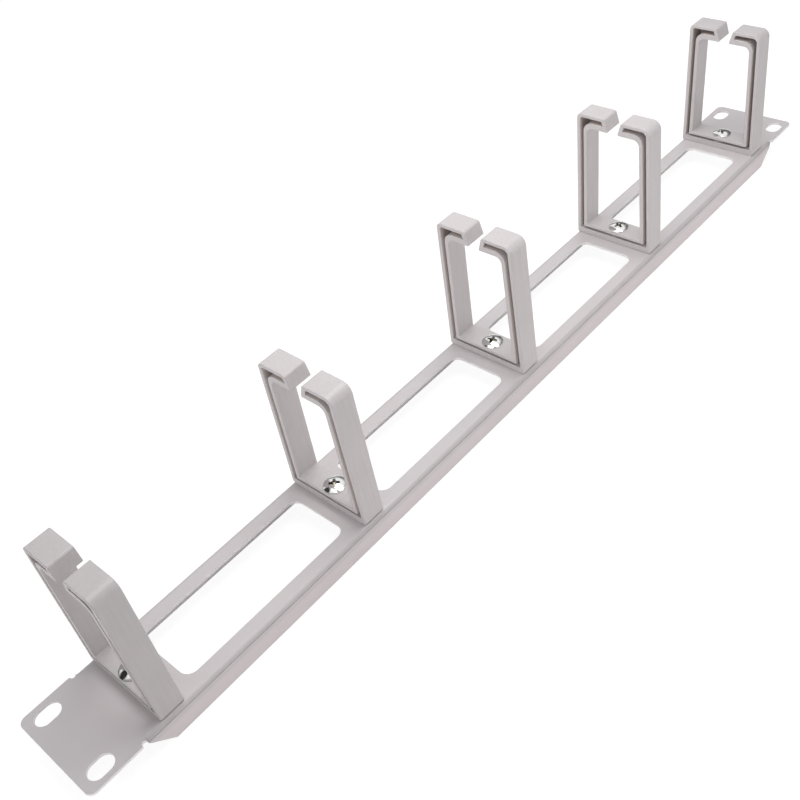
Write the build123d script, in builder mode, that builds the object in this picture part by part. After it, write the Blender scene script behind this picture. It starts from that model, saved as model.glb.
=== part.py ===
from build123d import *
from build123d.topology import SkipClean
import os

os.makedirs("parts", exist_ok=True)

# A one-unit rack panel that carries open rings for cables.
# It lies on its flange edges with its front face up: X runs along it and Y across it.
# The origin is the middle of the rectangle that the flange edges stand on, and sizes are in mm.

# The folded sheet
panel_length = 482.6  # over both ears, the width of a 19 inch rack
panel_height = 43.7  # one rack unit, less its clearance
sheet = 1.3  # steel sheet with its paint
bend_radius = 1.2  # inside each fold
flange_depth = 10.4  # from the front face to the edge of a flange
flange_slope = 9.0  # each flange end is cut away at 45 degrees by this much
ear_length = 24.2  # from a flange's end to the panel's end
ear_corner = 3.0
relief_width = 2.2  # notch that ends each fold at the ear
relief_depth = 1.4

# Slots in the ears, at the standard spacings of the rack, 465.1 by 31.75
slot_inset = 8.75  # from the panel's end to the middle of a slot
slot_spacing_y = 31.75
slot_length = 10.2
slot_width = 7.0

# Windows, with a ring at each end of the row and between each two of them
window_count = 4
window_gap = 22.3  # strip of sheet between two windows, which carries a ring
window_width = 28.6
window_corner = 4.5
end_margin = 12.5  # from a flange's end to the middle of the end ring

# A moulded ring, whose sides lean in towards its crown
ring_height = 66.0
ring_foot_width = 41.4
ring_crown_width = 38.4
ring_depth = 10.3
ring_shift = 0.7  # all rings sit this far off the panel's middle line
outer_wall = 1.8
side_groove = 1.9
inner_wall = 1.9
crown_outer_wall = 1.6
crown_groove = 2.3
crown_inner_wall = 2.7
foot_outer_wall = 3.2
foot_groove = 1.3
foot_inner_wall = 1.5
groove_depth = 8.3  # the groove is open towards the near end and closed by a back wall
tip_wall = 2.0  # plastic that closes the groove at each arm's tip
mouth_outer_width = 8.8
mouth_inner_width = 4.8
tip_corner = 0.6  # on the four long edges of the mouth
boss_radius = 5.0
foot_corner = 1.0
near_crown_corner = 4.0
far_crown_corner = 2.5
near_groove_corner = 2.0
far_groove_corner = 0.8
inner_groove_corner = 4.4
opening_corner = 3.0

# Raised countersunk screw
thread_width = 5.0
screw_length = 12.0  # from the rim of the head to the tip
head_width = 9.4
head_rise = 1.6
head_flat = 5.0  # top of the raised head
hole_clearance = 0.5
recess_span = 4.8
recess_floor_span = 1.8
recess_width = 1.2
recess_depth = 2.3
screw_turns = (20.0, 45.0, 12.0, 67.0, 35.0)  # degrees that each cross is turned

# Nut behind the sheet
nut_flats = 8.0
nut_height = 4.0
nut_clearance = 0.1

ring_count = window_count + 1
ring_floor = foot_outer_wall + foot_groove + foot_inner_wall
ring_ceiling = ring_height - crown_outer_wall - crown_groove - crown_inner_wall
flange_reach = panel_length / 2 - ear_length
slot_spacing_x = panel_length - 2 * slot_inset
window_pitch = 2 * (flange_reach - end_margin) / window_count
window_length = window_pitch - window_gap
ring_places = [window_pitch * (number - window_count / 2) for number in range(ring_count)]
floor_level = flange_depth + ring_floor


def side(height):
    """Distance from a ring's middle to its outer face at a height above its foot."""
    lean = (ring_foot_width - ring_crown_width) / 2
    return ring_foot_width / 2 - lean * height / ring_height


def leaning_face(wall, low, high, radii, mode=Mode.ADD):
    """Face between two heights whose sides keep a wall inside the ring's leaning sides."""
    near_low = (wall - side(low), low)
    far_low = (side(low) - wall, low)
    far_high = (side(high) - wall, high)
    near_high = (wall - side(high), high)
    with BuildLine() as outline:
        FilletPolyline(near_low, far_low, far_high, near_high, radius=radii, close=True)
    make_face(outline.edges(), mode=mode)


def mouth_face(extra, mode=Mode.ADD):
    """Wedge between the arm tips, widened on each side, from the ring's ceiling to its crown."""
    top = mouth_outer_width / 2 + extra
    bottom = mouth_inner_width / 2 + extra
    with BuildLine() as outline:
        Polyline(
            (-bottom, ring_ceiling),
            (bottom, ring_ceiling),
            (top, ring_height),
            (-top, ring_height),
            close=True,
        )
    make_face(outline.edges(), mode=mode)


# Panel, one folded sheet
with BuildPart() as panel:
    # Body folded down along both long edges
    with BuildSketch(Plane.YZ.offset(-flange_reach)):
        fold = bend_radius + sheet
        half_height = panel_height / 2
        with BuildLine():
            Polyline((-half_height, 0), (-half_height, flange_depth - fold))
            RadiusArc((-half_height, flange_depth - fold), (fold - half_height, flange_depth), fold)
            Line((fold - half_height, flange_depth), (half_height - fold, flange_depth))
            RadiusArc((half_height - fold, flange_depth), (half_height, flange_depth - fold), fold)
            Polyline((half_height, flange_depth - fold), (half_height, 0), (half_height - sheet, 0))
            Line((half_height - sheet, 0), (half_height - sheet, flange_depth - fold))
            RadiusArc(
                (half_height - sheet, flange_depth - fold),
                (half_height - fold, flange_depth - sheet),
                -bend_radius,
            )
            Line((half_height - fold, flange_depth - sheet), (fold - half_height, flange_depth - sheet))
            RadiusArc(
                (fold - half_height, flange_depth - sheet),
                (sheet - half_height, flange_depth - fold),
                -bend_radius,
            )
            Polyline((sheet - half_height, flange_depth - fold), (sheet - half_height, 0), (-half_height, 0))
        make_face()
    extrude(amount=2 * flange_reach)

    # Sloped ends of the flanges
    with BuildSketch(Plane.XZ.offset(-half_height)):
        with BuildLine():
            Polyline(
                (flange_reach, 0),
                (flange_reach, flange_slope),
                (flange_reach - flange_slope, 0),
                close=True,
            )
        make_face()
        mirror(about=Plane.YZ)
    extrude(amount=panel_height, mode=Mode.SUBTRACT)

    # Windows and screw holes
    with BuildSketch(Plane.XY.offset(flange_depth)):
        with GridLocations(window_pitch, panel_height, window_count, 1):
            RectangleRounded(window_length, window_width, window_corner)
        with Locations(*[(place, ring_shift) for place in ring_places]):
            Circle((thread_width + hole_clearance) / 2)
    extrude(amount=-sheet, mode=Mode.SUBTRACT)

    # Flat ears with their slots, and a round-ended relief notch between each fold and ear
    with BuildSketch(Plane.XY.offset(flange_depth - sheet)):
        Rectangle(panel_length, panel_height)
        fillet(vertices(), ear_corner)
        Rectangle(2 * flange_reach, panel_height, mode=Mode.SUBTRACT)
        with GridLocations(slot_spacing_x, slot_spacing_y, 2, 2):
            SlotOverall(slot_length, slot_width, mode=Mode.SUBTRACT)
        with GridLocations(2 * flange_reach + relief_width, panel_height, 2, 2):
            SlotOverall(2 * relief_depth, relief_width, rotation=90, mode=Mode.SUBTRACT)
    # Not merged with the body's faces, so that the face that meets the rack is a face of its own
    with SkipClean():
        extrude(amount=sheet, clean=False)

panel.part.label = "panel"
export_step(panel.part, "parts/panel.step")

# Rings, all alike, with sharp corners inside their feet
outline_corners = (foot_corner, foot_corner, far_crown_corner, near_crown_corner)
groove_corners = (0, 0, far_groove_corner, near_groove_corner)
core_corners = (0, 0, inner_groove_corner, inner_groove_corner)
opening_corners = (0, 0, opening_corner, opening_corner)

for number, place in enumerate(ring_places, start=1):
    near_face = Plane(
        origin=(place - ring_depth / 2, ring_shift, flange_depth),
        x_dir=(0, 1, 0),
        z_dir=(1, 0, 0),
    )
    with BuildPart() as ring:
        # Outline, opening and mouth
        with BuildSketch(near_face):
            leaning_face(0, 0, ring_height, outline_corners)
            leaning_face(
                outer_wall + side_groove + inner_wall,
                ring_floor,
                ring_ceiling,
                opening_corners,
                mode=Mode.SUBTRACT,
            )
            mouth_face(0, mode=Mode.SUBTRACT)
            tips = vertices().filter_by_position(Axis.X, -mouth_outer_width / 2, mouth_outer_width / 2)
            chamfer(tips, tip_corner)
        extrude(amount=ring_depth)

        # Groove between the outer and the inner wall
        with BuildSketch(near_face):
            leaning_face(outer_wall, foot_outer_wall, ring_height - crown_outer_wall, groove_corners)
            leaning_face(
                outer_wall + side_groove,
                foot_outer_wall + foot_groove,
                ring_ceiling + crown_inner_wall,
                core_corners,
                mode=Mode.SUBTRACT,
            )
            mouth_face(tip_wall, mode=Mode.SUBTRACT)
        extrude(amount=groove_depth, mode=Mode.SUBTRACT)

        # Boss that bridges the groove around the screw
        with BuildSketch(Plane((place, ring_shift, flange_depth + foot_outer_wall))):
            Circle(boss_radius)
        extrude(amount=foot_groove)

        # Countersunk hole
        with Locations(Plane((place, ring_shift, floor_level))):
            CounterSinkHole(
                radius=(thread_width + hole_clearance) / 2,
                counter_sink_radius=head_width / 2,
                depth=ring_floor,
                counter_sink_angle=90,
            )

    ring.part.label = f"ring_{number}"
    export_step(ring.part, f"parts/ring_{number}.step")

# Screws
cone_depth = (head_width - thread_width) / 2

for number, (place, turn) in enumerate(zip(ring_places, screw_turns), start=1):
    upright = Plane(origin=(place, ring_shift, floor_level), x_dir=(1, 0, 0), z_dir=(0, -1, 0))
    with BuildPart() as screw:
        # Raised head, cone and shank
        with BuildSketch(upright):
            with BuildLine():
                Polyline(
                    (0, head_rise),
                    (head_flat / 2, head_rise),
                    (head_width / 2, 0),
                    (thread_width / 2, -cone_depth),
                    (thread_width / 2, -screw_length),
                    (0, -screw_length),
                    close=True,
                )
            make_face()
        revolve(axis=Axis((place, ring_shift, 0), (0, 0, 1)))

        # Cross recess, two tapered wings
        for wing_turn in (turn, turn + 90):
            with BuildSketch(upright.rotated((0, wing_turn, 0))):
                with BuildLine():
                    Polyline(
                        (-recess_span / 2, head_rise),
                        (recess_span / 2, head_rise),
                        (recess_floor_span / 2, head_rise - recess_depth),
                        (-recess_floor_span / 2, head_rise - recess_depth),
                        close=True,
                    )
                make_face()
            extrude(amount=recess_width / 2, both=True, mode=Mode.SUBTRACT)

    screw.part.label = f"screw_{number}"
    export_step(screw.part, f"parts/screw_{number}.step")

# Nuts, flat on the back of the sheet
nut_top = flange_depth - sheet

for number, place in enumerate(ring_places, start=1):
    with BuildPart() as nut:
        with BuildSketch(Plane((place, ring_shift, nut_top))):
            RegularPolygon(nut_flats / 2, 6, major_radius=False)
            Circle((thread_width + nut_clearance) / 2, mode=Mode.SUBTRACT)
        extrude(amount=-nut_height)

    nut.part.label = f"nut_{number}"
    export_step(nut.part, f"parts/nut_{number}.step")
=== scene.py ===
import logging
import math
from collections.abc import Callable
from dataclasses import dataclass, field
from enum import Enum

import bmesh
import bpy
from mathutils import Matrix, Vector


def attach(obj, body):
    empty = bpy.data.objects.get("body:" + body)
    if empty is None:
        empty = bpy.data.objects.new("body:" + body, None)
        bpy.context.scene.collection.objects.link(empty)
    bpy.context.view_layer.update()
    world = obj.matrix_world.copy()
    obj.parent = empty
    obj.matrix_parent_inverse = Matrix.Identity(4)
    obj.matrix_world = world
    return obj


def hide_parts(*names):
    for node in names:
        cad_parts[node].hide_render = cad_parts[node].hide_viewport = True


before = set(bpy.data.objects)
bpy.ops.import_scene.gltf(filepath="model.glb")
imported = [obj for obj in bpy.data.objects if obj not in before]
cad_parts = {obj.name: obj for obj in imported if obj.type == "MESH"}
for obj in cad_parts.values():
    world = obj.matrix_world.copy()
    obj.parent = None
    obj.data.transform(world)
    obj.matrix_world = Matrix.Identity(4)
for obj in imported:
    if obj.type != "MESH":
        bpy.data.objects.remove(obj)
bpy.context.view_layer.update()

# Looks of a one-unit rack panel that carries a row of open moulded rings for cables.
# All lengths are in metres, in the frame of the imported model: X along the panel, Z out of its front.

MM = 0.001
WELD = 0.001 * MM  # tolerance of the shapes made here
DOUBLE = 0.002 * MM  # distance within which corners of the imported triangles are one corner
FLAT = 0.6  # degrees between two faces up to which they are joined into one
SHARP = 32.0  # degrees between two faces from which their edge counts as sharp
ROUND_STEPS = 2  # facets across a rounded edge
FACE_WEIGHT = 100  # how strongly large faces set the shading
NOISE_MIDDLE = (0.3, 0.7)  # between these lie most values of a noise pattern
RING_PITCH = 102.3 * MM  # from one ring's middle to the next
RING_SHIFT = 0.7 * MM  # from the panel's middle line to the rings' middles
BODY = "root"
log = logging.getLogger("rack_panel")


class Slot(Enum):
    """Material slots of the record, one for each finish."""

    PANEL = "panel_paint"
    RING = "ring_plastic"
    SCREW = "screw_plating"
    NUT = "nut_plating"


class Blend(Enum):
    """Ways in which values are put together in a node tree."""

    ADD = "ADD"
    SUBTRACT = "SUBTRACT"
    MULTIPLY = "MULTIPLY"
    DIVIDE = "DIVIDE"
    MAXIMUM = "MAXIMUM"
    MINIMUM = "MINIMUM"
    WRAP = "WRAP"
    ABSOLUTE = "ABSOLUTE"
    SINE = "SINE"
    LESS = "LESS_THAN"
    MIX = "MIX"


Colour = tuple[float, float, float]
Socket = bpy.types.NodeSocket
Value = float | tuple | Socket | bpy.types.Material


def solid(colour: Colour) -> tuple[float, float, float, float]:
    """Returns a colour with full opacity."""
    return (*colour, 1.0)


class Wiring:
    """Node tree under construction, with short calls for its nodes."""

    def __init__(self, group: bpy.types.NodeTree) -> None:
        """Starts on an empty tree or on Blender's first nodes."""
        self.group = group

    def node(
        self,
        kind: str,
        inputs: dict[str | int, Value] | None = None,
        **settings: str,
    ) -> bpy.types.Node:
        """Adds a node.

        Args:
            kind: Blender's name of the node's type.
            inputs: Value or source of each input, by its name or number.
            settings: Settings of the node itself.

        Returns:
            The node.
        """
        node = self.group.nodes.new(kind)
        for name, value in settings.items():
            setattr(node, name, value)
        for name, value in (inputs or {}).items():
            if isinstance(value, bpy.types.NodeSocket):
                self.group.links.new(value, node.inputs[name])
            else:
                node.inputs[name].default_value = value
        return node

    def math(self, blend: Blend, *terms: Value) -> Socket:
        """Puts numbers together and returns the result."""
        return self.node("ShaderNodeMath", dict(enumerate(terms)), operation=blend.value).outputs[0]

    def ramp(
        self,
        value: Value,
        start: tuple[Value, Value],
        end: tuple[Value, Value],
        soft: bool = False,
    ) -> Socket:
        """Maps a range of a number onto another range and keeps it inside.

        Args:
            value: The number.
            start: A number and the result for it.
            end: Another number and the result for it.
            soft: Whether the result eases in and out.

        Returns:
            The result.
        """
        inputs = {"Value": value}
        inputs["From Min"], inputs["To Min"] = start
        inputs["From Max"], inputs["To Max"] = end
        kind = "SMOOTHSTEP" if soft else "LINEAR"
        return self.node("ShaderNodeMapRange", inputs, interpolation_type=kind).outputs[0]

    def folded(self, blend: Blend, *terms: Value) -> Socket:
        """Puts any count of numbers together, two at a time.

        Args:
            blend: How two of them are put together.
            *terms: The numbers.

        Returns:
            The result.
        """
        result = terms[0]
        for term in terms[1:]:
            result = self.math(blend, result, term)
        return result

    def point(self, x: Value, y: Value, z: Value) -> Socket:
        """Joins three numbers into one place."""
        return self.node("ShaderNodeCombineXYZ", {"X": x, "Y": y, "Z": z}).outputs[0]

    def mixed(self, share: Value, first: float | Socket, second: float | Socket) -> Socket:
        """Returns a number between two numbers."""
        return self.node("ShaderNodeMix", {0: share, 2: first, 3: second}, data_type="FLOAT").outputs[0]


# Finishes


class Recipe(Wiring):
    """Node tree of one material, with short calls for what the finishes share."""

    def __init__(self, name: str) -> None:
        """Starts a material with a Principled shader.

        Args:
            name: Name of the material.
        """
        self.material = bpy.data.materials.new(name)
        self.material.use_nodes = True
        super().__init__(self.material.node_tree)
        self.shader = self.group.nodes["Principled BSDF"]
        coordinates = self.node("ShaderNodeTexCoord").outputs
        self.place = coordinates["Object"]
        self.parts = self.node("ShaderNodeSeparateXYZ", {0: self.place}).outputs
        self.facing = self.node("ShaderNodeSeparateXYZ", {0: coordinates["Normal"]}).outputs

    def constant(self, **values: float | tuple) -> None:
        """Sets sockets of the shader, named with underscores for spaces."""
        for name, value in values.items():
            self.shader.inputs[name.replace("_", " ")].default_value = value

    def follow(self, socket: str, source: Socket) -> None:
        """Lets a pattern drive a socket of the shader."""
        self.group.links.new(source, self.shader.inputs[socket])

    def stretched(self, scale: Colour) -> Socket:
        """Returns the place on the piece, scaled along each axis."""
        return self.node("ShaderNodeMapping", {"Vector": self.place, "Scale": scale}).outputs[0]

    def away(self, axis: str, middle: float = 0.0) -> Socket:
        """Returns the distance along one axis from a place on it."""
        return self.math(Blend.ABSOLUTE, self.math(Blend.SUBTRACT, self.parts[axis], middle))

    def noise(self, place: Socket, size: float, detail: float = 2.0) -> Socket:
        """Makes a soft random pattern.

        Args:
            place: Coordinates that the pattern reads.
            size: Rough size of one patch, in metres.
            detail: Finer layers in the pattern.

        Returns:
            The pattern's value, around a half.
        """
        inputs = {"Vector": place, "Scale": 1.0 / size, "Detail": detail}
        return self.node("ShaderNodeTexNoise", inputs).outputs["Fac"]

    def spread(self, pattern: Socket, low: float = 0.0, high: float = 1.0) -> Socket:
        """Spreads the middle of a random pattern over a range."""
        start, end = NOISE_MIDDLE
        return self.ramp(pattern, (start, low), (end, high))

    def rough(self, pattern: Socket, span: tuple[float, float]) -> None:
        """Lets a random pattern drive the roughness over a range."""
        self.follow("Roughness", self.spread(pattern, *span))

    def tinted(
        self,
        share: Socket,
        first: Colour | Socket,
        second: Colour | Socket,
        blend: Blend = Blend.MIX,
    ) -> Socket:
        """Brings a second colour into a first one.

        Args:
            share: How much of the second colour there is, up to one.
            first: A colour, or where it comes from.
            second: Another colour, or where it comes from.
            blend: Whether the second takes the first one's place or is multiplied with it.

        Returns:
            The result.
        """
        inputs = {0: share}
        for number, colour in ((6, first), (7, second)):
            inputs[number] = colour if isinstance(colour, bpy.types.NodeSocket) else solid(colour)
        return self.node("ShaderNodeMix", inputs, data_type="RGBA", blend_type=blend.value).outputs[2]

    def relief(self, layers: list[tuple[Socket, float]]) -> None:
        """Raises the surface by patterns, one over the other.

        Args:
            layers: Each pattern with its height in metres.
        """
        below = None
        for pattern, height in layers:
            bump = self.node("ShaderNodeBump", {"Distance": height, "Height": pattern})
            if below is not None:
                self.group.links.new(below, bump.inputs["Normal"])
            below = bump.outputs["Normal"]
        self.follow("Normal", below)


@dataclass(frozen=True)
class PanelPaint:
    """Light warm grey powder paint, satin and finely peeled.

    Shade is painted along the folds, and light on the flanges, on the cut edges and low inside the flanges.
    A facet counts as a cut edge by how far it faces up, from edge_lean's first value to its second.
    A fold is found by the distance from the middle line plus fold_lean times the height.
    """

    colour: Colour = (0.615, 0.582, 0.592)
    warm: Colour = (0.635, 0.592, 0.602)
    # painted shade along the folds
    folded: Colour = (0.535, 0.500, 0.510)
    # painted light on the flanges' outsides
    flange: Colour = (0.705, 0.642, 0.654)
    # painted light on the cut edges and low inside the flanges
    edge: Colour = (0.96, 0.93, 0.94)
    edge_level: float = 9.0 * MM
    edge_reach: float = 19.3 * MM
    edge_lean: tuple[float, float] = (0.8, 0.3)
    flange_out: float = 21.8 * MM
    flange_fade: tuple[float, float] = (8.4 * MM, 6.2 * MM)
    flange_in: float = 20.55 * MM
    flange_play: float = 0.1 * MM
    lip: tuple[float, float] = (2.0 * MM, 4.5 * MM)
    fold_lean: float = 1.4
    fold_start: float = 33.95 * MM
    fold_end: float = 34.60 * MM
    fold_reach: float = 217.1 * MM
    patch: float = 60 * MM
    peel: float = 1.1 * MM
    peel_detail: float = 3.0
    peel_height: float = 0.008 * MM
    matt: tuple[float, float] = (0.35, 0.45)

    def material(self) -> bpy.types.Material:
        """Makes the paint.

        Returns:
            Its material.
        """
        recipe = Recipe("panel_paint")
        broad = recipe.noise(recipe.place, self.patch)
        fine = recipe.noise(recipe.place, self.peel, self.peel_detail)
        tint = recipe.tinted(recipe.spread(broad), self.colour, self.warm)
        # painted light on the flanges' outsides
        tint = recipe.tinted(self.flange_light_mask(recipe), tint, self.flange)
        # painted shade along the folds
        tint = recipe.tinted(self.fold(recipe), tint, self.folded)
        # painted light on the cut edges and low inside the flanges
        recipe.follow("Base Color", recipe.tinted(self.edge_light_mask(recipe), tint, self.edge))
        recipe.rough(broad, self.matt)
        recipe.relief([(fine, self.peel_height)])
        return recipe.material

    def flange_light_mask(self, recipe: Recipe) -> Socket:
        """Finds the outsides of the two flanges, below their folds.

        Args:
            recipe: The material under construction.

        Returns:
            A mask of painted light, one low on a flange, less towards its fold and zero elsewhere.
        """
        outside = recipe.math(Blend.LESS, self.flange_out, recipe.away("Y"))
        high, low = self.flange_fade
        below = recipe.ramp(recipe.parts["Z"], (high, 0.0), (low, 1.0), soft=True)
        return recipe.math(Blend.MULTIPLY, outside, below)

    def fold(self, recipe: Recipe) -> Socket:
        """Finds the two folds between the ears.

        Args:
            recipe: The material under construction.

        Returns:
            A mask of painted shade, one in the middle of a fold and zero away from it.
        """
        rise = recipe.math(Blend.MULTIPLY, recipe.parts["Z"], self.fold_lean)
        across = recipe.math(Blend.ADD, recipe.away("Y"), rise)
        bend = recipe.ramp(across, (self.fold_start, 0.0), (self.fold_end, 1.0), soft=True)
        between_ears = recipe.math(Blend.LESS, recipe.away("X"), self.fold_reach)
        return recipe.math(Blend.MULTIPLY, bend, between_ears)

    def edge_light_mask(self, recipe: Recipe) -> Socket:
        """Finds the cut edges of the flat sheet, and the flanges' inside along the edge they stand on.

        Args:
            recipe: The material under construction.

        Returns:
            A mask of painted light, one on these edges and zero elsewhere.
        """
        upright = recipe.math(Blend.ABSOLUTE, recipe.facing["Z"])
        sideways = recipe.ramp(upright, (self.edge_lean[0], 0.0), (self.edge_lean[1], 1.0))
        above = recipe.math(Blend.LESS, self.edge_level, recipe.parts["Z"])
        between_folds = recipe.math(Blend.LESS, recipe.away("Y"), self.edge_reach)
        on_ear = recipe.math(Blend.LESS, self.fold_reach, recipe.away("X"))
        flat = recipe.math(Blend.MAXIMUM, between_folds, on_ear)
        gap = recipe.math(Blend.ABSOLUTE, recipe.math(Blend.SUBTRACT, recipe.away("Y"), self.flange_in))
        inside = recipe.math(Blend.LESS, gap, self.flange_play)
        low = recipe.ramp(recipe.parts["Z"], (self.lip[0], 1.0), (self.lip[1], 0.0))
        edge = recipe.folded(Blend.MULTIPLY, sideways, above, flat)
        return recipe.math(Blend.MAXIMUM, edge, recipe.math(Blend.MULTIPLY, inside, low))


@dataclass(frozen=True)
class RingPlastic:
    """Grey moulded plastic, satin, with faint streaks along the arms and painted light and shade in the
    groove.

    The groove lies between an outer and an inner outline, each given by its distance from the ring's side,
    from its crown and from its foot. A facet that faces the far end by more than back_lean isn't in it.
    Shade is painted onto the plastic towards the two end rings, where less light falls.
    """

    colour: Colour = (0.582, 0.549, 0.554)
    shade: Colour = (0.644, 0.605, 0.611)
    # painted light in the groove, and painted shade deeper in it
    groove: Colour = (0.86, 0.80, 0.785)
    groove_deep_shade: Colour = (0.58, 0.51, 0.48)
    outer: tuple[float, float, float] = (1.75 * MM, 1.55 * MM, 3.15 * MM)
    inner: tuple[float, float, float] = (3.75 * MM, 3.95 * MM, 4.55 * MM)
    tip_end: float = 6.2 * MM
    back_lean: float = 0.5
    depth: float = 10.3 * MM
    seen_depth: float = 2.2 * MM
    half_width: float = 20.7 * MM
    lean: float = 1.5 / 66.0
    height: float = 66.0 * MM
    foot: float = 10.4 * MM
    # painted shade towards the two end rings
    end_shade: Colour = (0.88, 0.88, 0.88)
    end_middle: float = 15 * MM
    end_reach: tuple[float, float] = (110 * MM, 220 * MM)
    patch: float = 14 * MM
    streak: float = 0.95 * MM
    streak_stretch: float = 0.04
    streak_detail: float = 1.0
    streak_share: float = 0.6
    streak_height: float = 0.012 * MM
    skin: float = 0.35 * MM
    skin_height: float = 0.004 * MM
    matt: tuple[float, float] = (0.36, 0.48)

    def material(self) -> bpy.types.Material:
        """Makes the plastic.

        Returns:
            Its material.
        """
        recipe = Recipe("ring_plastic")
        broad = recipe.noise(recipe.place, self.patch)
        upright = recipe.stretched((1.0, 1.0, self.streak_stretch))
        streaks = recipe.noise(upright, self.streak, self.streak_detail)
        skin = recipe.noise(recipe.place, self.skin)
        both = recipe.mixed(self.streak_share, recipe.spread(broad), recipe.spread(streaks))
        tint = recipe.tinted(both, self.colour, self.shade)
        local = recipe.math(Blend.WRAP, recipe.parts["X"], RING_PITCH / 2, -RING_PITCH / 2)
        # painted light in the groove, with painted shade deeper in
        depth_shade = recipe.ramp(local, (-self.depth / 2, 0.0), (self.seen_depth - self.depth / 2, 1.0))
        glow = recipe.tinted(depth_shade, self.groove, self.groove_deep_shade)
        tint = recipe.tinted(self.groove_light_mask(recipe), tint, glow)
        # painted shade towards the two end rings
        reach = recipe.away("X", self.end_middle)
        end = recipe.ramp(reach, (self.end_reach[0], 0.0), (self.end_reach[1], 1.0))
        recipe.follow("Base Color", recipe.tinted(end, tint, self.end_shade, Blend.MULTIPLY))
        recipe.rough(streaks, self.matt)
        recipe.relief([(streaks, self.streak_height), (skin, self.skin_height)])
        return recipe.material

    def groove_light_mask(self, recipe: Recipe) -> Socket:
        """Finds the walls and the floor of the groove.

        Args:
            recipe: The material under construction.

        Returns:
            A mask of painted light, one in the groove and zero outside.
        """
        rise = recipe.math(Blend.SUBTRACT, recipe.parts["Z"], self.foot)
        out = recipe.away("Y", RING_SHIFT)
        leant = recipe.math(Blend.ADD, out, recipe.math(Blend.MULTIPLY, rise, self.lean))
        side = recipe.math(Blend.SUBTRACT, self.half_width, leant)
        crown = recipe.math(Blend.SUBTRACT, self.height, rise)
        outlines = []
        for walls in (self.outer, self.inner):
            pairs = zip((side, crown, rise), walls)
            reaches = [recipe.math(Blend.SUBTRACT, reach, wall) for reach, wall in pairs]
            outlines.append(recipe.folded(Blend.MINIMUM, *reaches))
        outer, inner = outlines
        inside_outer = recipe.math(Blend.LESS, 0.0, outer)
        outside_inner = recipe.math(Blend.LESS, inner, 0.0)
        past_tip = recipe.math(Blend.LESS, self.tip_end, out)
        not_back = recipe.math(Blend.LESS, recipe.facing["X"], self.back_lean)
        above_foot = recipe.math(Blend.LESS, self.inner[2], rise)
        return recipe.folded(Blend.MULTIPLY, inside_outer, outside_inner, past_tip, not_back, above_foot)


@dataclass(frozen=True)
class BrightPlating:
    """Bright plated steel, with a faint unevenness in its polish and shade painted into the cross recess."""

    name: str = "screw_plating"
    colour: Colour = (0.86, 0.86, 0.85)
    dull: Colour = (0.78, 0.78, 0.77)
    # painted shade in the cross recess
    recess: Colour = (0.52, 0.505, 0.44)
    recess_radius: float = 2.7 * MM
    recess_top: float = 17.6 * MM
    recess_fade: float = 16.9 * MM
    recess_floor: float = 14.5 * MM
    patch: float = 1.6 * MM
    ripple_height: float = 0.006 * MM
    matt: tuple[float, float] = (0.07, 0.14)

    def material(self) -> bpy.types.Material:
        """Makes the plating.

        Returns:
            Its material.
        """
        recipe = Recipe(self.name)
        cloud = recipe.noise(recipe.place, self.patch)
        tint = recipe.tinted(recipe.spread(cloud), self.colour, self.dull)
        # painted shade in the cross recess
        recipe.follow("Base Color", recipe.tinted(self.recess_shade_mask(recipe), tint, self.recess))
        recipe.rough(cloud, self.matt)
        recipe.relief([(cloud, self.ripple_height)])
        recipe.constant(Metallic=1.0)
        return recipe.material

    def recess_shade_mask(self, recipe: Recipe) -> Socket:
        """Finds the walls and the floor of the cross recess.

        Args:
            recipe: The material under construction.

        Returns:
            A mask of painted shade, one deep in the recess and zero outside.
        """
        x = recipe.math(Blend.WRAP, recipe.parts["X"], RING_PITCH / 2, -RING_PITCH / 2)
        across = {0: recipe.point(x, recipe.away("Y", RING_SHIFT), 0.0)}
        radius = recipe.node("ShaderNodeVectorMath", across, operation="LENGTH").outputs["Value"]
        near = recipe.math(Blend.LESS, radius, self.recess_radius)
        depth_shade = recipe.ramp(recipe.parts["Z"], (self.recess_top, 0.0), (self.recess_fade, 1.0))
        above = recipe.math(Blend.LESS, self.recess_floor, recipe.parts["Z"])
        return recipe.folded(Blend.MULTIPLY, near, depth_shade, above)


@dataclass(frozen=True)
class StudioWhite:
    """White floor that the camera and mirrors see as white, with a soft shadow on it."""

    colour: Colour = (0.91, 0.885, 0.885)
    seen: Colour = (0.20, 0.20, 0.20)
    glow: float = 0.90
    matt: float = 0.9

    def material(self) -> bpy.types.Material:
        """Makes the floor's paper.

        Returns:
            Its material.
        """
        recipe = Recipe("studio_white")
        recipe.constant(Base_Color=solid(self.colour), Roughness=self.matt, Specular_IOR_Level=0.0)
        rays = recipe.node("ShaderNodeLightPath").outputs
        direct = recipe.math(Blend.MAXIMUM, rays["Is Camera Ray"], rays["Is Glossy Ray"])
        paper = recipe.node("ShaderNodeBsdfDiffuse", {"Color": solid(self.seen)}).outputs[0]
        light = recipe.node("ShaderNodeEmission", {"Strength": self.glow}).outputs[0]
        both = recipe.node("ShaderNodeAddShader", {0: paper, 1: light}).outputs[0]
        choice = recipe.node("ShaderNodeMixShader", {0: direct, 1: recipe.shader.outputs[0], 2: both})
        recipe.group.links.new(choice.outputs[0], recipe.group.nodes["Material Output"].inputs["Surface"])
        return recipe.material


# Meshes


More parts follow.
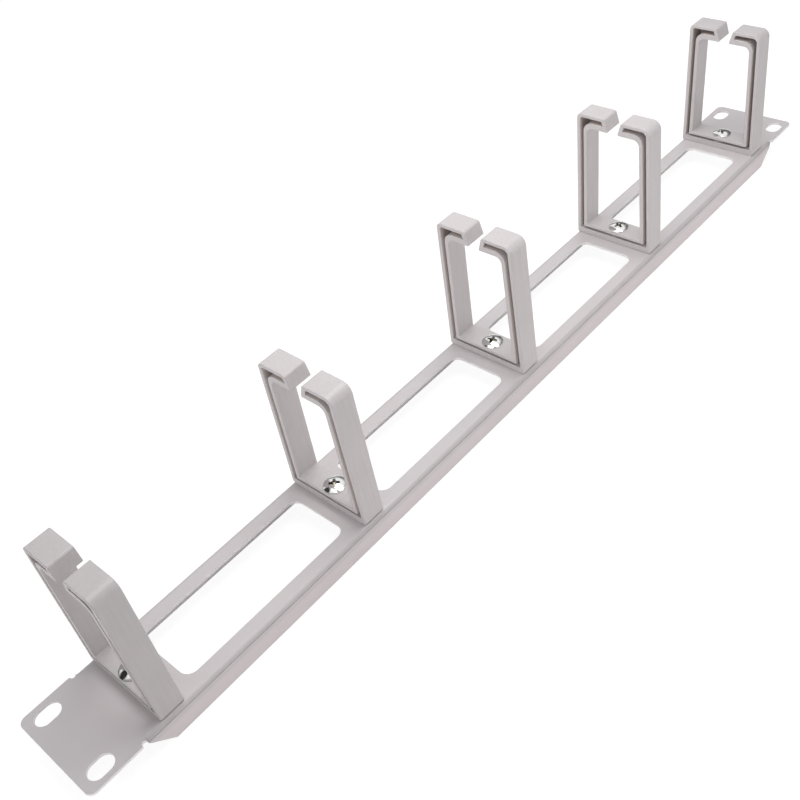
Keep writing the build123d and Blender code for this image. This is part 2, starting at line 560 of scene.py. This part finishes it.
def joined_copy(node: bpy.types.Object, name: str) -> bpy.types.Object:
    """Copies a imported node's mesh, joins its loose triangles and dissolves the flat ones.

    Args:
        node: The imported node, which is left alone.
        name: Name of the new piece.

    Returns:
        The new piece, at the origin.
    """
    mesh = bmesh.new()
    mesh.from_mesh(node.data)
    bmesh.ops.remove_doubles(mesh, verts=mesh.verts, dist=DOUBLE)
    bmesh.ops.dissolve_limit(mesh, angle_limit=math.radians(FLAT), verts=mesh.verts, edges=mesh.edges)
    data = bpy.data.meshes.new(name)
    mesh.to_mesh(data)
    mesh.free()
    return placed(data, name)


def placed(data: bpy.types.Mesh, name: str) -> bpy.types.Object:
    """Puts a mesh into the scene.

    Args:
        data: The mesh.
        name: Name of the piece.

    Returns:
        The piece, at the origin.
    """
    piece = bpy.data.objects.new(name, data)
    bpy.context.scene.collection.objects.link(piece)
    return piece


def box_of(node: bpy.types.Object) -> tuple[Vector, Vector]:
    """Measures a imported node.

    Args:
        node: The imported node.

    Returns:
        Its lowest and its highest corner.
    """
    places = [node.matrix_world @ vertex.co for vertex in node.data.vertices]
    low = Vector([min(place[axis] for place in places) for axis in range(3)])
    high = Vector([max(place[axis] for place in places) for axis in range(3)])
    return low, high


def weigh_edges(piece: bpy.types.Object, share: Callable[[bmesh.types.BMEdge], float]) -> None:
    """Marks how strongly each sharp edge of a piece is rounded.

    Args:
        piece: The piece, whose faces are already joined.
        share: Gives an edge's share of the full radius.
    """
    mesh = bmesh.new()
    mesh.from_mesh(piece.data)
    weight = mesh.edges.layers.float.new("bevel_weight_edge")
    for edge in mesh.edges:
        if edge.is_manifold and edge.calc_face_angle() > math.radians(SHARP):
            edge[weight] = share(edge)
    mesh.to_mesh(piece.data)
    mesh.free()


def round_edges(piece: bpy.types.Object, radius: float) -> None:
    """Rounds a piece's weighed edges and shades the rest smooth.

    Args:
        piece: The piece, whose edges are weighed.
        radius: Full radius of the rounded edges, in metres.
    """
    bevel = piece.modifiers.new("edge_rounds", "BEVEL")
    bevel.width = radius
    bevel.segments = ROUND_STEPS
    bevel.limit_method = "WEIGHT"
    bevel.use_clamp_overlap = False
    bevel.loop_slide = False
    piece.data.shade_smooth()
    even = piece.modifiers.new("even_shading", "WEIGHTED_NORMAL")
    even.keep_sharp = True
    even.weight = FACE_WEIGHT


def dress(piece: bpy.types.Object, finish: bpy.types.Material, slot: Slot, nodes: list[str]) -> None:
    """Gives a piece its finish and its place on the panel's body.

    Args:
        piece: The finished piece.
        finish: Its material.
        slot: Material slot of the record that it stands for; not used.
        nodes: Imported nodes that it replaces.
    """
    piece.data.materials.clear()
    piece.data.materials.append(finish)
    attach(piece, BODY)
    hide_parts(*nodes)
    log.info("%s replaces %s", piece.name, ", ".join(nodes))


# Node trees


class Tree(Wiring):
    """Geometry node tree under construction."""

    def __init__(self, name: str) -> None:
        """Starts the tree with one geometry output.

        Args:
            name: Name of the tree.
        """
        super().__init__(bpy.data.node_groups.new(name, "GeometryNodeTree"))
        self.group.interface.new_socket("Geometry", in_out="OUTPUT", socket_type="NodeSocketGeometry")
        self.entry = self.group.nodes.new("NodeGroupInput")
        self.exit = self.group.nodes.new("NodeGroupOutput")

    def input(self, name: str) -> Socket:
        """Adds a named number to the tree's inputs and returns it."""
        self.group.interface.new_socket(name, in_out="INPUT", socket_type="NodeSocketFloat")
        return self.entry.outputs[name]

    def moved(self, body: Socket, place: Socket, turn: Value = 0.0) -> Socket:
        """Turns a body round its upright axis and moves it."""
        inputs = {"Geometry": body, "Translation": place, "Rotation": self.point(0.0, 0.0, turn)}
        return self.node("GeometryNodeTransform", inputs).outputs[0]

    def joined(self, *bodies: Socket) -> Socket:
        """Joins bodies, and their edges where they meet.

        Args:
            *bodies: The bodies.

        Returns:
            The joined body.
        """
        join = self.node("GeometryNodeJoinGeometry")
        for body in bodies:
            self.group.links.new(body, join.inputs[0])
        weld = {"Geometry": join.outputs[0], "Distance": WELD}
        return self.node("GeometryNodeMergeByDistance", weld).outputs[0]

    def sheet(self, rows: int, around: int) -> tuple[Socket, Socket, Socket]:
        """Makes a grid that is about to be bent round the upright axis.

        Args:
            rows: Points along the outline.
            around: Facets around the axis.

        Returns:
            The grid, the number of each point's row, and its angle.
        """
        size = {"Size X": rows - 1, "Size Y": math.tau, "Vertices X": rows, "Vertices Y": around + 1}
        grid = self.node("GeometryNodeMeshGrid", size).outputs["Mesh"]
        place = self.node("GeometryNodeInputPosition").outputs[0]
        parts = self.node("ShaderNodeSeparateXYZ", {0: place})
        row = self.math(Blend.ADD, parts.outputs["X"], (rows - 1) / 2)
        return grid, row, parts.outputs["Y"]

    def bent(self, grid: Socket, outline: Socket, angle: Socket) -> Socket:
        """Bends a grid round the upright axis.

        Args:
            grid: The flat grid.
            outline: Place of each of its points at angle zero.
            angle: Angle of each point.

        Returns:
            The bent grid, welded along its seam.
        """
        turn = {"Vector": outline, "Angle": angle}
        place = self.node("ShaderNodeVectorRotate", turn, rotation_type="Z_AXIS").outputs[0]
        shaped = self.node("GeometryNodeSetPosition", {"Geometry": grid, "Position": place}).outputs[0]
        return self.joined(shaped)

    def turned(self, outline: list[tuple[Value, Value]], around: int) -> Socket:
        """Turns an outline round the upright axis, as on a lathe.

        Args:
            outline: Radius and height of each corner, from the top down.
            around: Facets around the axis.

        Returns:
            The turned body.
        """
        grid, row, angle = self.sheet(len(outline), around)
        pick = self.node("GeometryNodeIndexSwitch", data_type="VECTOR")
        while len(pick.index_switch_items) < len(outline):
            pick.index_switch_items.new()
        whole = self.node("FunctionNodeFloatToInt", {0: row}, rounding_mode="ROUND").outputs[0]
        self.group.links.new(whole, pick.inputs["Index"])
        for number, (radius, height) in enumerate(outline):
            self.group.links.new(self.point(radius, 0.0, height), pick.inputs[number + 1])
        return self.bent(grid, pick.outputs[0], angle)

    def cut(self, body: Socket, *cutters: Socket) -> Socket:
        """Cuts bodies out of a body.

        Args:
            body: The body that stays.
            *cutters: The bodies that are cut out of it.

        Returns:
            What is left of the body.
        """
        node = self.node("GeometryNodeMeshBoolean", {"Mesh 1": body}, operation="DIFFERENCE", solver="EXACT")
        for cutter in cutters:
            self.group.links.new(cutter, node.inputs["Mesh 2"])
        return node.outputs["Mesh"]

    def common(self, *bodies: Socket) -> Socket:
        """Keeps what bodies share.

        Args:
            *bodies: The bodies.

        Returns:
            The part that is in each of them.
        """
        node = self.node("GeometryNodeMeshBoolean", operation="INTERSECT", solver="EXACT")
        for body in bodies:
            self.group.links.new(body, node.inputs["Mesh 2"])
        return node.outputs["Mesh"]

    def finish(self, body: Socket, material: bpy.types.Material, crease: float) -> None:
        """Ends the tree with its shading and material.

        Args:
            body: The finished body.
            material: Its material.
            crease: Angle from which an edge is shaded sharp, in degrees.
        """
        angle = self.node("GeometryNodeInputMeshEdgeAngle").outputs["Unsigned Angle"]
        node = self.node("FunctionNodeCompare", {0: angle, 1: math.radians(crease)}, operation="LESS_THAN")
        smooth = {"Geometry": body, "Shade Smooth": node.outputs[0]}
        shaded = self.node("GeometryNodeSetShadeSmooth", smooth, domain="EDGE").outputs[0]
        real = self.node("GeometryNodeRealizeInstances", {"Geometry": shaded}).outputs[0]
        painted = self.node("GeometryNodeSetMaterial", {"Geometry": real, "Material": material}).outputs[0]
        self.group.links.new(painted, self.exit.inputs[0])

    def made(self, name: str, values: dict[str, float]) -> bpy.types.Object:
        """Runs the tree and keeps its result as a plain mesh.

        Args:
            name: Name of the new piece.
            values: Value of each named input.

        Returns:
            The piece, at the origin and without a modifier.
        """
        piece = placed(bpy.data.meshes.new(name), name)
        modifier = piece.modifiers.new(self.group.name, "NODES")
        modifier.node_group = self.group
        for item in self.group.interface.items_tree:
            if item.name in values:
                modifier[item.identifier] = values[item.name]
        depsgraph = bpy.context.evaluated_depsgraph_get()
        mesh = bpy.data.meshes.new_from_object(piece.evaluated_get(depsgraph), depsgraph=depsgraph)
        piece.modifiers.remove(modifier)
        piece.data = mesh
        mesh.name = name
        return piece


# Sub-assemblies


@dataclass
class FoldedPanel:
    """The folded sheet with its ears, slots and windows."""

    edge_radius: float = 0.2 * MM
    fold_end: tuple[float, float] = (215.5 * MM, 217.15 * MM)
    fold_side: float = 18.5 * MM
    fold_level: float = 7.5 * MM
    finish: PanelPaint = PanelPaint()

    def build(self) -> int:
        """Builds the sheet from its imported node.

        Returns:
            The count of its pieces.
        """
        sheet = joined_copy(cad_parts["panel"], "folded_sheet")
        weigh_edges(sheet, self.share)
        round_edges(sheet, self.edge_radius)
        dress(sheet, self.finish.material(), Slot.PANEL, ["panel"])
        return 1

    def share(self, edge: bmesh.types.BMEdge) -> float:
        """Gives full rounding, and none where a fold ends beside an ear and its step runs out.

        Args:
            edge: A sharp edge of the sheet.

        Returns:
            The edge's share of the full radius.
        """
        near, far = self.fold_end
        for corner in edge.verts:
            along, out, level = abs(corner.co.x), abs(corner.co.y), corner.co.z
            if not near < along < far or out < self.fold_side or level < self.fold_level:
                return 1.0
        return 0.0


@dataclass
class RingRow:
    """The five moulded rings."""

    count: int = 5
    edge_radius: float = 0.42 * MM
    groove_share: float = 0.45
    foot_groove_share: float = 0.26
    tip_share: float = 0.6
    tip_reach: float = 5.5 * MM
    back_wall: float = 1.0 * MM
    seat_radius: float = 5.08 * MM
    seat_height: float = 8.0 * MM
    finish: RingPlastic = RingPlastic()

    def build(self) -> int:
        """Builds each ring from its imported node.

        Returns:
            The count of the rings.
        """
        plastic = self.finish.material()
        for number in range(1, self.count + 1):
            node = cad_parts[f"ring_{number}"]
            ring = joined_copy(node, f"moulded_ring_{number}")
            low, high = box_of(node)
            weigh_edges(ring, lambda edge: self.share(edge, low, high))
            round_edges(ring, self.edge_radius)
            dress(ring, plastic, Slot.RING, [f"ring_{number}"])
        return self.count

    def share(self, edge: bmesh.types.BMEdge, low: Vector, high: Vector) -> float:
        """Gives full rounding outside, less in the groove and at the tips, and none at the screw.

        Args:
            edge: A sharp edge of a ring.
            low: Lowest corner of the ring.
            high: Highest corner of the ring.

        Returns:
            The edge's share of the full radius.
        """
        middle = (edge.verts[0].co + edge.verts[1].co) / 2
        centre = (low + high) / 2
        across = Vector((middle.x - centre.x, middle.y - centre.y)).length
        if across < self.seat_radius and middle.z < low.z + self.seat_height:
            return 0.0
        reaches = [max(corner.co.x for corner in face.verts) for face in edge.link_faces]
        if any(low.x + WELD < reach < high.x - self.back_wall for reach in reaches):
            return self.foot_groove_share if middle.z < low.z + self.seat_height else self.groove_share
        if abs(middle.y - centre.y) < self.tip_reach and middle.z > centre.z:
            return self.tip_share
        return 1.0


@dataclass(frozen=True)
class ScrewInputs:
    """Inputs of the screws' tree: the head's radius and rise, the seat's height, thread radius and length."""

    radius: Socket
    rise: Socket
    seat: Socket
    thread: Socket
    length: Socket


@dataclass
class RaisedScrew:
    """Countersunk screw with a raised head and a cross recess."""

    head_width: float = 9.4 * MM
    head_rise: float = 1.6 * MM
    rim: float = 0.4 * MM
    thread_width: float = 5.0 * MM
    thread_depth: float = 0.42 * MM
    thread_pitch: float = 0.8 * MM
    recess_span: float = 5.0 * MM
    recess_floor_span: float = 2.0 * MM
    recess_width: float = 1.2 * MM
    recess_floor_width: float = 0.96 * MM
    recess_depth: float = 2.3 * MM
    core_width: float = 2.5 * MM
    core_floor_width: float = 1.25 * MM
    core_facets: int = 24
    around: int = 72
    dome_bands: int = 10
    shank_rows: int = 74
    crease: float = 35.0

    def tree(self, material: bpy.types.Material) -> Tree:
        """Builds the node tree that turns, threads and punches a screw.

        Args:
            material: The screw's material.

        Returns:
            The tree.
        """
        tree = Tree("raised_screw")
        sizes = ScrewInputs(
            radius=tree.input("Head Radius"),
            rise=tree.input("Head Rise"),
            seat=tree.input("Seat Height"),
            thread=tree.input("Thread Radius"),
            length=tree.input("Length"),
        )
        place = tree.point(tree.input("Place X"), tree.input("Place Y"), 0.0)
        turn = tree.input("Turn")
        head = tree.turned(self.head(tree, sizes), self.around)
        body = tree.joined(head, self.shank(tree, sizes))
        wings = [self.wing(tree, sizes, quarter) for quarter in (0.0, math.pi / 2)]
        body = tree.cut(body, *wings, self.core(tree, sizes))
        tree.finish(tree.moved(body, place, turn), material, self.crease)
        return tree

    def head(self, tree: Tree, sizes: ScrewInputs) -> list:
        """Lists the outline of the head, a round dome over a thin rim and a cone.

        Args:
            tree: The tree under construction.
            sizes: Its inputs.

        Returns:
            Radius and height of each corner, from the top down.
        """
        outline = []
        rim = tree.math(Blend.ADD, sizes.seat, self.rim)
        dome = tree.math(Blend.SUBTRACT, sizes.rise, self.rim)
        bulge = self.head_rise - self.rim
        half = 2 * math.atan(2 * bulge / self.head_width)
        for band in range(self.dome_bands + 1):
            angle = half * band / self.dome_bands
            out = tree.math(Blend.MULTIPLY, sizes.radius, math.sin(angle) / math.sin(half))
            share = (math.cos(angle) - math.cos(half)) / (1 - math.cos(half))
            outline.append((out, tree.math(Blend.ADD, rim, tree.math(Blend.MULTIPLY, dome, share))))
        outline.append((sizes.radius, sizes.seat))
        drop = tree.math(Blend.SUBTRACT, sizes.radius, sizes.thread)
        outline.append((sizes.thread, tree.math(Blend.SUBTRACT, sizes.seat, drop)))
        return outline

    def shank(self, tree: Tree, sizes: ScrewInputs) -> Socket:
        """Makes the threaded shank below the cone, with a pointed lead at its end.

        Args:
            tree: The tree under construction.
            sizes: Its inputs.

        Returns:
            The shank.
        """
        grid, row, angle = tree.sheet(self.shank_rows, self.around)
        last = self.shank_rows - 2  # row at the tip, which one more row closes
        drop = tree.math(Blend.SUBTRACT, sizes.radius, sizes.thread)
        top = tree.math(Blend.SUBTRACT, sizes.seat, drop)
        tip = tree.math(Blend.SUBTRACT, sizes.seat, sizes.length)
        height = tree.ramp(row, (0.0, top), (float(last), tip))
        climb = tree.math(Blend.DIVIDE, height, self.thread_pitch / math.tau)
        wave = tree.math(Blend.SINE, tree.math(Blend.ADD, climb, angle))
        above = tree.math(Blend.ADD, tip, self.thread_pitch)
        lead = tree.ramp(height, (tip, 1.0), (above, 0.0))
        bare = tree.math(Blend.SUBTRACT, top, self.thread_pitch)
        grown = tree.ramp(height, (top, 0.0), (bare, 1.0))
        half_depth = tree.math(Blend.MULTIPLY, grown, self.thread_depth / 2)
        wavy = tree.math(Blend.MULTIPLY, tree.math(Blend.SUBTRACT, 1.0, wave), half_depth)
        lost = tree.math(Blend.MULTIPLY, lead, self.thread_depth)
        width = tree.folded(Blend.SUBTRACT, sizes.thread, wavy, lost)
        open_rows = tree.math(Blend.LESS, row, last + 0.5)
        width = tree.math(Blend.MULTIPLY, width, open_rows)
        return tree.bent(grid, tree.point(width, 0.0, height), angle)

    def wing(self, tree: Tree, sizes: ScrewInputs, turn: float) -> Socket:
        """Makes one tapered wing of the cross-shaped punch.

        Args:
            tree: The tree under construction.
            sizes: Its inputs.
            turn: Turn of the wing, in radians.

        Returns:
            The wing.
        """
        cube = tree.node("GeometryNodeMeshCube", {"Size": (1.0, 1.0, 1.0)}).outputs["Mesh"]
        place = tree.node("GeometryNodeInputPosition").outputs[0]
        parts = tree.node("ShaderNodeSeparateXYZ", {0: place}).outputs
        low, high = -0.5, 0.5  # floor and top of the cube
        span = tree.ramp(parts["Z"], (low, self.recess_floor_span), (high, self.recess_span))
        wall = tree.ramp(parts["Z"], (low, self.recess_floor_width), (high, self.recess_width))
        x = tree.math(Blend.MULTIPLY, parts["X"], span)
        y = tree.math(Blend.MULTIPLY, parts["Y"], wall)
        z = tree.math(Blend.MULTIPLY, parts["Z"], self.recess_depth)
        shaped = {"Geometry": cube, "Position": tree.point(x, y, z)}
        body = tree.node("GeometryNodeSetPosition", shaped).outputs[0]
        return tree.moved(body, self.punch_place(tree, sizes), turn)

    def core(self, tree: Tree, sizes: ScrewInputs) -> Socket:
        """Makes the round core of the punch, where its wings meet.

        Args:
            tree: The tree under construction.
            sizes: Its inputs.

        Returns:
            The core.
        """
        cone = {
            "Vertices": self.core_facets,
            "Radius Top": self.core_width / 2,
            "Radius Bottom": self.core_floor_width / 2,
            "Depth": self.recess_depth,
        }
        body = tree.node("GeometryNodeMeshCone", cone).outputs["Mesh"]
        low = tree.point(0.0, 0.0, -self.recess_depth / 2)
        return tree.moved(tree.moved(body, low), self.punch_place(tree, sizes))

    def punch_place(self, tree: Tree, sizes: ScrewInputs) -> Socket:
        """Returns the middle of the punch, which goes down from the top of the dome."""
        top = tree.math(Blend.ADD, sizes.seat, sizes.rise)
        return tree.point(0.0, 0.0, tree.math(Blend.SUBTRACT, top, self.recess_depth / 2))


@dataclass
class HexagonNut:
    """Hexagon nut with chamfered corners and a countersunk hole.

    The radius of its flat bearing face is a share of the width across the flats, and the radius of
    the blank that it is turned from a share of the corners' radius. The cutters run past it by spill.
    """

    flats: float = 8.0 * MM
    hole_width: float = 5.1 * MM
    face_share: float = 0.475
    blank_share: float = 1.1
    chamfer_angle: float = 30.0
    lead: float = 0.35 * MM
    spill: float = 1.0 * MM
    around: int = 72
    crease: float = 20.0

    def tree(self, material: bpy.types.Material) -> Tree:
        """Builds the node tree that chamfers and drills a hexagon.

        Args:
            material: The nut's material.

        Returns:
            The tree.
        """
        tree = Tree("hexagon_nut")
        flats = tree.input("Flats")
        height = tree.input("Height")
        hole = tree.input("Hole Radius")
        place = tree.point(tree.input("Place X"), tree.input("Place Y"), tree.input("Place Z"))
        corner = tree.math(Blend.DIVIDE, flats, math.sqrt(3))
        prism = {"Vertices": 6, "Radius": corner, "Depth": height}
        body = tree.node("GeometryNodeMeshCylinder", prism).outputs["Mesh"]
        ends = [tree.math(Blend.DIVIDE, height, share) for share in (2.0, -2.0)]
        body = tree.common(body, tree.turned(self.blank(tree, flats, corner, ends), self.around))
        body = tree.cut(body, tree.turned(self.drill(tree, hole, ends), self.around))
        tree.finish(tree.moved(body, place), material, self.crease)
        return tree

    def blank(self, tree: Tree, flats: Socket, corner: Socket, ends: list[Socket]) -> list:
        """Lists the outline of the turned blank, whose rims are chamfered.

        Args:
            tree: The tree under construction.
            flats: Width across the flats.
            corner: Radius of the corners.
            ends: Height of the nut's top and bottom.

        Returns:
            Radius and height of each corner, from the top down.
        """
        top, bottom = ends
        face = tree.math(Blend.MULTIPLY, flats, self.face_share)
        wide = tree.math(Blend.MULTIPLY, corner, self.blank_share)
        slope = math.tan(math.radians(self.chamfer_angle))
        drop = tree.math(Blend.MULTIPLY, tree.math(Blend.SUBTRACT, wide, face), slope)
        upper = tree.math(Blend.SUBTRACT, top, drop)
        lower = tree.math(Blend.ADD, bottom, drop)
        return [(0.0, top), (face, top), (wide, upper), (wide, lower), (face, bottom), (0.0, bottom)]

    def drill(self, tree: Tree, hole: Socket, ends: list[Socket]) -> list:
        """Lists the outline of the drill, which countersinks both ends of the hole.

        Args:
            tree: The tree under construction.
            hole: Radius of the hole.
            ends: Height of the nut's top and bottom.

        Returns:
            Radius and height of each corner, from the top down.
        """
        top, bottom = ends
        wide = tree.math(Blend.ADD, hole, self.lead + self.spill)
        over = tree.math(Blend.ADD, top, self.spill)
        under = tree.math(Blend.SUBTRACT, bottom, self.spill)
        upper = tree.math(Blend.SUBTRACT, top, self.lead)
        lower = tree.math(Blend.ADD, bottom, self.lead)
        return [(0.0, over), (wide, over), (hole, upper), (hole, lower), (wide, under), (0.0, under)]


@dataclass
class RingFasteners:
    """The screw and nut that hold each ring."""

    turns: tuple[float, ...] = (20.0, 45.0, 12.0, 67.0, 35.0)
    screw: RaisedScrew = field(default_factory=RaisedScrew)
    nut: HexagonNut = field(default_factory=HexagonNut)
    bright: BrightPlating = BrightPlating()
    dull: BrightPlating = BrightPlating("nut_plating", matt=(0.28, 0.38))

    def build(self) -> int:
        """Builds every screw and nut.

        Returns:
            The count of both.
        """
        chrome = self.bright.material()
        zinc = self.dull.material()
        screws = self.screw.tree(chrome)
        nuts = self.nut.tree(zinc)
        for number, turn in enumerate(self.turns, start=1):
            self.set_screw(screws, chrome, number, turn)
            self.set_nut(nuts, zinc, number)
        return 2 * len(self.turns)

    def set_screw(self, tree: Tree, finish: bpy.types.Material, number: int, turn: float) -> None:
        """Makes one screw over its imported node.

        Args:
            tree: Node tree of the screws.
            finish: Their material.
            number: Number of the ring.
            turn: Turn of the cross, in degrees.
        """
        low, high = box_of(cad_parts[f"screw_{number}"])
        middle = (low + high) / 2
        values = {
            "Head Radius": self.screw.head_width / 2,
            "Head Rise": self.screw.head_rise,
            "Seat Height": high.z - self.screw.head_rise,
            "Thread Radius": self.screw.thread_width / 2,
            "Length": high.z - self.screw.head_rise - low.z,
            "Place X": middle.x,
            "Place Y": middle.y,
            "Turn": math.radians(turn),
        }
        dress(tree.made(f"ring_screw_{number}", values), finish, Slot.SCREW, [f"screw_{number}"])

    def set_nut(self, tree: Tree, finish: bpy.types.Material, number: int) -> None:
        """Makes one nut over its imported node.

        Args:
            tree: Node tree of the nuts.
            finish: Their material.
            number: Number of the ring.
        """
        low, high = box_of(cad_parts[f"nut_{number}"])
        middle = (low + high) / 2
        values = {
            "Flats": self.nut.flats,
            "Height": high.z - low.z,
            "Hole Radius": self.nut.hole_width / 2,
            "Place X": middle.x,
            "Place Y": middle.y,
            "Place Z": middle.z,
        }
        dress(tree.made(f"ring_nut_{number}", values), finish, Slot.NUT, [f"nut_{number}"])


@dataclass(frozen=True)
class SoftLamp:
    """Square lamp that hangs over the panel and faces down."""

    name: str
    height: float
    size: float
    power: float

    def hang(self, along: float) -> None:
        """Hangs the lamp.

        Args:
            along: How far along the panel it hangs.
        """
        data = bpy.data.lights.new(self.name, "AREA")
        data.size = self.size
        data.energy = self.power
        lamp = bpy.data.objects.new(self.name, data)
        lamp.location = (along, 0.0, self.height)
        bpy.context.scene.collection.objects.link(lamp)


@dataclass
class Studio:
    """Floor, light and camera."""

    floor_size: float = 6.0
    paper: StudioWhite = StudioWhite()
    lamps: tuple[SoftLamp, ...] = (
        SoftLamp("overhead_lamp", height=0.55, size=0.35, power=1.55),
        SoftLamp("ceiling_lamp", height=1.1, size=0.8, power=1.8),
    )
    lamps_along: float = 0.05
    focal_pixels: float = 1007.18
    centre_x: float = 409.08
    centre_y: float = 394.16
    image_size: float = 800.0
    sensor: float = 36.0
    eye: Colour = (-0.257354, -0.229445, 0.306593)
    right: Colour = (0.6512, -0.7455, -0.1418)
    down: Colour = (-0.5801, -0.3686, -0.7263)
    ahead: Colour = (0.4892, 0.5553, -0.6726)
    end_light: float = 0.92
    band_light: float = 1.05
    band_height: float = 0.35
    softbox: Colour = (0.2, 0.5, 0.84)
    softbox_edge: tuple[float, float] = (0.60, 0.78)
    dark_side: float = 0.16
    dark_card: Colour = (-0.36, 0.60, 0.715)
    card_edge: tuple[float, float] = (0.94, 0.966)
    card_tone: float = 0.03
    clip: tuple[float, float] = (0.01, 20.0)

    def build(self) -> None:
        """Builds the floor, the lamps, the world and the camera."""
        self.floor()
        for lamp in self.lamps:
            lamp.hang(self.lamps_along)
        self.world()
        self.camera()

    def floor(self) -> None:
        """Lays the floor that the panel's flanges stand on."""
        half = self.floor_size / 2
        data = bpy.data.meshes.new("floor")
        corners = [(-half, -half, 0), (half, -half, 0), (half, half, 0), (-half, half, 0)]
        data.from_pydata(corners, [], [(0, 1, 2, 3)])
        floor = placed(data, "floor")
        floor.data.materials.append(self.paper.material())

    def world(self) -> None:
        """Lights the scene: white for the camera, a softbox and a dark card for mirrors, else soft light."""
        world = bpy.data.worlds.new("studio")
        world.use_nodes = True
        wiring = Wiring(world.node_tree)
        toward = wiring.node("ShaderNodeTexCoord").outputs["Generated"]
        parts = wiring.node("ShaderNodeSeparateXYZ", {0: toward}).outputs
        ends = wiring.math(Blend.MULTIPLY, wiring.math(Blend.ABSOLUTE, parts["X"]), self.end_light)
        band = wiring.ramp(parts["Z"], (0.0, self.band_light), (self.band_height, 0.0))
        box = self.patch(wiring, toward, self.softbox, self.softbox_edge, (self.dark_side, 1.0))
        card = self.patch(wiring, toward, self.dark_card, self.card_edge, (1.0, self.card_tone))
        mirrored = wiring.math(Blend.MULTIPLY, box, card)
        rays = wiring.node("ShaderNodeLightPath").outputs
        strength = wiring.mixed(rays["Is Glossy Ray"], wiring.math(Blend.ADD, ends, band), mirrored)
        strength = wiring.mixed(rays["Is Camera Ray"], strength, 1.0)
        back = world.node_tree.nodes["Background"].inputs
        back["Color"].default_value = solid((1.0, 1.0, 1.0))
        world.node_tree.links.new(strength, back["Strength"])
        bpy.context.scene.world = world

    def patch(
        self,
        wiring: Wiring,
        toward: Socket,
        middle: Colour,
        edge: tuple[float, float],
        tones: tuple[float, float],
    ) -> Socket:
        """Makes a soft round patch in the world around.

        Args:
            wiring: The world's tree.
            toward: Direction that is looked in.
            middle: Direction of the patch's middle.
            edge: Where the patch starts and where it is full, each by its nearness to the middle.
            tones: Brightness outside and inside the patch.

        Returns:
            The brightness.
        """
        near = wiring.node("ShaderNodeVectorMath", {0: toward, 1: middle}, operation="DOT_PRODUCT")
        outer, inner = zip(edge, tones)
        return wiring.ramp(near.outputs["Value"], outer, inner, soft=True)

    def camera(self) -> None:
        """Sets the camera as the photograph was taken."""
        data = bpy.data.cameras.new("photo_view")
        data.sensor_fit = "HORIZONTAL"
        data.sensor_width = self.sensor
        data.lens = self.sensor * self.focal_pixels / self.image_size
        data.shift_x = (self.image_size / 2 - self.centre_x) / self.image_size
        data.shift_y = (self.centre_y - self.image_size / 2) / self.image_size
        data.clip_start, data.clip_end = self.clip
        camera = bpy.data.objects.new("photo_view", data)
        axes = Matrix((self.right, -Vector(self.down), -Vector(self.ahead))).transposed()
        camera.matrix_world = Matrix.Translation(self.eye) @ axes.to_4x4()
        bpy.context.scene.collection.objects.link(camera)
        bpy.context.scene.camera = camera


def main() -> None:
    """Builds the sub-assemblies in order and reports each."""
    logging.basicConfig(level=logging.INFO, format="%(message)s")
    bpy.context.scene.view_settings.view_transform = "Standard"
    parts = {"folded panel": FoldedPanel(), "ring row": RingRow(), "ring fasteners": RingFasteners()}
    for name, part in parts.items():
        log.info("%s, pieces: %d", name, part.build())
    Studio().build()
    log.info("studio: floor, lamps, world and camera")


if __name__ == "__main__":
    main()
